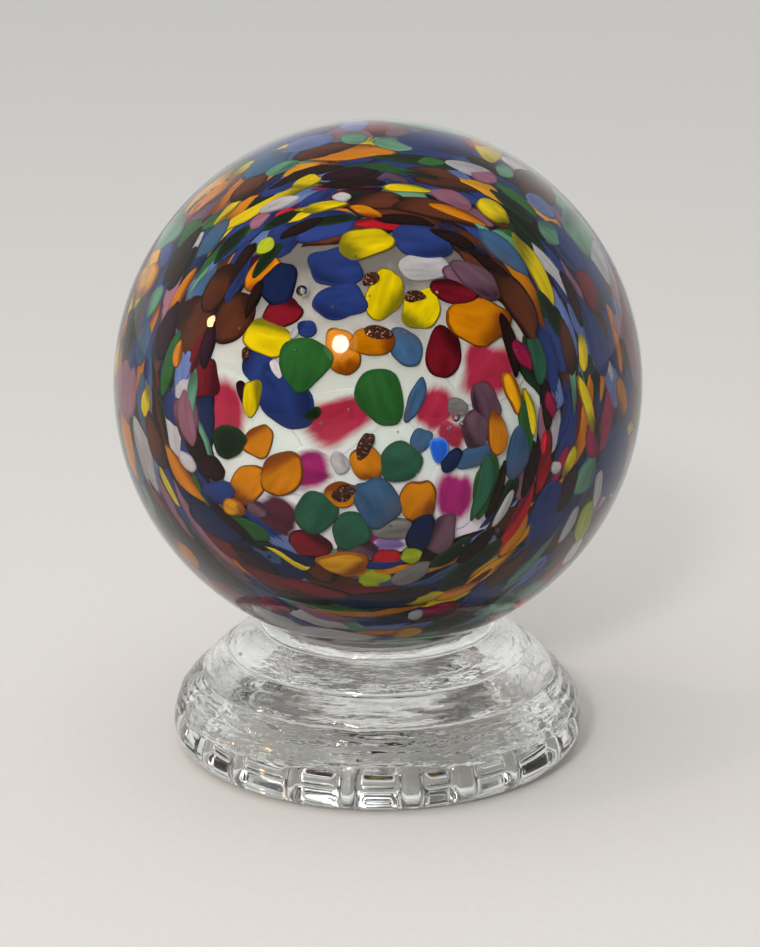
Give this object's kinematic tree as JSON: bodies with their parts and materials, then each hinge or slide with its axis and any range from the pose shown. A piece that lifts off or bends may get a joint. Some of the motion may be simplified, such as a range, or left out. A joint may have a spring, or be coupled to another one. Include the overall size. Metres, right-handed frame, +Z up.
{
  "type": "glass marble on stand",
  "caption": "Large solid art-glass ball with a clear casing over a chip-coloured core, resting in the dish of a low stepped clear-glass stand.",
  "frame": {"origin": "middle of the stand's foot, on the surface that it stands on", "axes": "+Z up along the stand's axis and through the ball's centre, +Y away from the viewer, +X to the viewer's right"},
  "size_m": [0.1, 0.1, 0.1215],
  "materials": {
    "cased_art_glass": "fire-polished",
    "clear_pressed_glass": "fire-polished"
  },
  "bodies": {
    "root": {"marble": "cased_art_glass", "stand": "clear_pressed_glass"}
  },
  "joints": []
}
